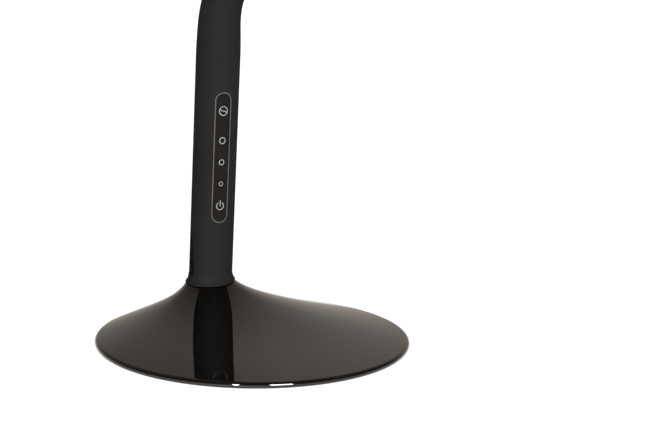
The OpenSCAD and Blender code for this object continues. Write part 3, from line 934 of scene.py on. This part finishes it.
def diffuser_shape():
    """The frosted plate, with a lower face that bulges very slightly."""
    rows = [(-DIFFUSER_T, DIFFUSER_SIDE), (0.0, DIFFUSER_SIDE), *DIFFUSER_FACE]
    rings = [cut_straight(pad_ring(COVER_RIM + down, inset), DIFFUSER_START) for down, inset in rows]
    return loft([ring[::-1] for ring in rings])


def collar_ring(t, inset=0.0):
    """One ring of the collar, from the round neck (t = 0) to the flat mouth round the head (t = 1)."""
    q = smoothstep(t)
    neck = (SLEEVE_R + SLEEVE_FIT) * (1 - q)
    r = neck + MOUTH_ROUND * q
    w = neck + (ROOT_R + MOUTH_WALL) * q - r
    h = neck + ((COVER_H + BEZEL_T) / 2 + MOUTH_WALL) * q - r
    cx = (COVER_TOP + BEZEL_LOW) / 2 * q
    r -= inset
    ring = []
    for a in circle(HEAD_SIDES, 0.5):
        x = cx + math.copysign(h, math.cos(a)) + r * math.cos(a)
        y = math.copysign(w, math.sin(a)) + r * math.sin(a)
        ring.append((x, y, LAST_BEND + COLLAR_LEN * t))
    return ring


def moved(ring, dz):
    return [(x, y, z + dz) for x, y, z in ring]


def collar_shape():
    """From inside the neck's end, over two rounded edges, into the mouth round the head."""
    rings = [moved(collar_ring(0, inset), dz) for inset, dz in COLLAR_IN]
    for s, c in quarter(COLLAR_EDGE_STEPS):
        rings.append(moved(collar_ring(0, COLLAR_EDGE * (1 - s)), COLLAR_EDGE * (1 - c)))
    rings += [collar_ring(k / COLLAR_STEPS) for k in range(1, COLLAR_STEPS)]
    for s, c in quarter(COLLAR_EDGE_STEPS):
        rings.append(moved(collar_ring(1, COLLAR_EDGE * (1 - c)), -COLLAR_EDGE * (1 - s)))
    rings += [collar_ring(1, MOUTH_WALL - MOUTH_EDGE), moved(collar_ring(1, MOUTH_WALL), -MOUTH_IN)]
    return loft(rings, caps=(False, False))


dress(make("cover_skin", cover_shape(), HEAD, SOFT_HEAD), "head", "soft_black", "head_cover")
dress(make("bezel_skin", bezel_shape(), HEAD, SOFT_HEAD), "head", "soft_black", "head_bezel")
dress(make("diffuser_skin", diffuser_shape(), HEAD, DIFFUSER), "head", "diffuser", "head_diffuser")
dress(make("collar_skin", collar_shape(), HEAD, SOFT_HEAD), "head", "soft_black", "head_collar")

# ---------------------------------------------------------------- camera

# the place it looks from, about the middle of the base's underside, in degrees and metres
AZIMUTH = -21.5
ELEVATION = 16.2
DISTANCE = 1.2
# how far it then turns aside, down and over, in degrees
YAW = 2.4
PITCH = -3.722
ROLL = -0.502
# focal length and width of the picture in pixels, and width of the sensor in millimetres
FOCAL_PX = 1876.0
PHOTO_WIDTH = 665
SENSOR = 36.0


def axis_turn(degrees, axis):
    """A turn of the camera about one of its axes, X to the right, Y up, Z back."""
    c = math.cos(math.radians(degrees))
    s = math.sin(math.radians(degrees))
    rows = {
        "X": ((1, 0, 0), (0, c, -s), (0, s, c)),
        "Y": ((c, 0, s), (0, 1, 0), (-s, 0, c)),
        "Z": ((c, -s, 0), (s, c, 0), (0, 0, 1)),
    }
    return Matrix(rows[axis])


azimuth = math.radians(AZIMUTH)
elevation = math.radians(ELEVATION)
level = math.cos(elevation)
back = Vector((math.sin(azimuth) * level, -math.cos(azimuth) * level, math.sin(elevation)))
right = Vector((math.cos(azimuth), math.sin(azimuth), 0))
aimed = Matrix((right, back.cross(right), back))
turned = axis_turn(ROLL, "Z") @ axis_turn(PITCH, "X") @ axis_turn(YAW, "Y") @ aimed
camera = bpy.data.objects.new("camera", bpy.data.cameras.new("camera"))
bpy.context.scene.collection.objects.link(camera)
camera.matrix_world = Matrix.Translation(back * DISTANCE) @ turned.transposed().to_4x4()
camera.data.sensor_width = SENSOR
camera.data.lens = FOCAL_PX * SENSOR / PHOTO_WIDTH
bpy.context.scene.camera = camera

# ---------------------------------------------------------------- floor

FLOOR_HALF = 12.0
FLOOR_ROUGH = 0.9
FLOOR_NOISE = 3.0
GLOW_NEAR = (0.4, 0.88)  # (distance from the middle, strength of the floor's own glow)
GLOW_FAR = (1.6, 1.02)
FLOOR_DARK = (0.20, 0.20, 0.20, 1)
FLOOR_LIGHT = (0.22, 0.22, 0.22, 1)


def floor_material():
    """White paper that glows, so that it stays white behind the lamp and shades softly under it."""
    mat = bpy.data.materials.new("floor_white")
    mat.use_nodes = True
    tree = mat.node_tree
    bsdf = tree.nodes["Principled BSDF"]
    bsdf.inputs["Roughness"].default_value = FLOOR_ROUGH
    bsdf.inputs["Emission Color"].default_value = (1, 1, 1, 1)
    span = add(tree, "ShaderNodeVectorMath")
    span.operation = "LENGTH"
    link(tree, add(tree, "ShaderNodeTexCoord").outputs["Object"], span.inputs[0])
    glow = add(
        tree,
        "ShaderNodeMapRange",
        From_Min=GLOW_NEAR[0],
        From_Max=GLOW_FAR[0],
        To_Min=GLOW_NEAR[1],
        To_Max=GLOW_FAR[1],
    )
    link(tree, span.outputs["Value"], glow.inputs["Value"])
    link(tree, glow.outputs["Result"], bsdf.inputs["Emission Strength"])
    noise = add(tree, "ShaderNodeTexNoise", Scale=FLOOR_NOISE)
    shade = colour_ramp(tree, noise.outputs["Fac"], [(0.0, FLOOR_DARK), (1.0, FLOOR_LIGHT)])
    link(tree, shade, bsdf.inputs["Base Color"])
    return mat


corners = [(x * FLOOR_HALF, y * FLOOR_HALF, 0) for x, y in ((-1, -1), (1, -1), (1, 1), (-1, 1))]
floor_mesh = bpy.data.meshes.new("floor")
floor_mesh.from_pydata(corners, [], [(0, 1, 2, 3)])
floor_mesh.materials.append(floor_material())
floor = bpy.data.objects.new("floor", floor_mesh)
bpy.context.scene.collection.objects.link(floor)

# ---------------------------------------------------------------- room

# A pale wall stands behind the lamp. It darkens upwards, sooner on its left. The room is dim in front and at
# the far left.
# Each stop is (height, brightness): height 0 is the horizon and 1 is straight up.
WALL_LEFT = (
    (0.05, 0.68),
    (0.16, 0.58),
    (0.24, 0.47),
    (0.30, 0.385),
    (0.35, 0.285),
    (0.39, 0.235),
    (0.44, 0.2),
    (1, 0.195),
)
WALL_RIGHT = (
    (0.05, 0.66),
    (0.16, 0.60),
    (0.24, 0.53),
    (0.30, 0.44),
    (0.35, 0.39),
    (0.44, 0.30),
    (0.54, 0.26),
    (0.7, 0.22),
)
WALL_TINT = (1.09, 0.985, 0.89)
ROOM = 0.12

# between these parts of a direction along X or Y, one brightness passes into the next
LEFT_TO_RIGHT = (0.28, 0.36)
FAR_LEFT_TO_LEFT = (-0.9, -0.6)
FRONT_TO_BACK = (0.15, 0.5)

world = bpy.data.worlds.new("studio")
bpy.context.scene.world = world
world.use_nodes = True
world_tree = world.node_tree
sky = world_tree.nodes["Background"]
direction = add(world_tree, "ShaderNodeSeparateXYZ")
link(world_tree, add(world_tree, "ShaderNodeTexCoord").outputs["Generated"], direction.inputs["Vector"])


def wall_colour(stops):
    """A wall's colour over its height."""
    tinted = [(height, [brightness * tint for tint in WALL_TINT] + [1]) for height, brightness in stops]
    return colour_ramp(world_tree, direction.outputs["Z"], tinted)


def between(axis, low, high):
    """0 where the direction's part along the axis is low or less, and 1 where it is high or more."""
    shift = add(world_tree, "ShaderNodeMapRange", From_Min=low, From_Max=high)
    link(world_tree, direction.outputs[axis], shift.inputs["Value"])
    return shift.outputs["Result"]


def blend(factor, first, second):
    """A colour from the first at factor 0 to the second at 1. A number stands for a grey."""
    mix = add(world_tree, "ShaderNodeMix")
    mix.data_type = "RGBA"
    link(world_tree, factor, mix.inputs[0])
    for value, into in ((first, mix.inputs[6]), (second, mix.inputs[7])):
        if isinstance(value, float):
            into.default_value = (value, value, value, 1)
        else:
            link(world_tree, value, into)
    return mix.outputs[2]


wall = blend(between("X", *LEFT_TO_RIGHT), wall_colour(WALL_LEFT), wall_colour(WALL_RIGHT))
wall = blend(between("X", *FAR_LEFT_TO_LEFT), ROOM, wall)
link(world_tree, blend(between("Y", *FRONT_TO_BACK), ROOM, wall), sky.inputs["Color"])
sky.inputs["Strength"].default_value = 1.0

# ---------------------------------------------------------------- lights


def softbox(name, place, aim, size, watts, **seen_by):
    """A rectangular light. What is given as seen_by switches it off for diffuse or glossy surfaces."""
    lamp = bpy.data.lights.new(name, "AREA")
    lamp.shape = "RECTANGLE"
    lamp.size, lamp.size_y = size
    lamp.energy = watts
    obj = bpy.data.objects.new(name, lamp)
    bpy.context.scene.collection.objects.link(obj)
    obj.location = place
    obj.rotation_mode = "QUATERNION"
    obj.rotation_quaternion = (Vector(aim) - Vector(place)).to_track_quat("-Z", "Y")
    for rays, seen in seen_by.items():
        setattr(obj, f"visible_{rays}", seen)


# The overhead, key and fill light shape the matt surfaces.
# The two at the front only make the short and the long bright mark on the base's rim.
softbox("overhead", (0.2, -0.2, 2.6), (0, 0, 0), size=(2.0, 2.0), watts=20, glossy=False)
softbox("key", (-0.5, -2.13, 1.1), (0, 0.05, 0.12), size=(0.7, 0.7), watts=82, glossy=False)
softbox("front_left", (-1.22, -1.89, 0.8), (0, 0.05, 0.1), size=(0.1, 0.08), watts=560, diffuse=False)
softbox("front_strip", (-0.03, -2.0, 0.75), (0, 0.05, 0.05), size=(0.56, 1.0), watts=100, diffuse=False)
softbox("right_fill", (1.95, -1.15, 0.6), (0, 0.05, 0.15), size=(0.8, 0.8), watts=9, glossy=False)

bpy.context.scene.view_settings.view_transform = "Standard"
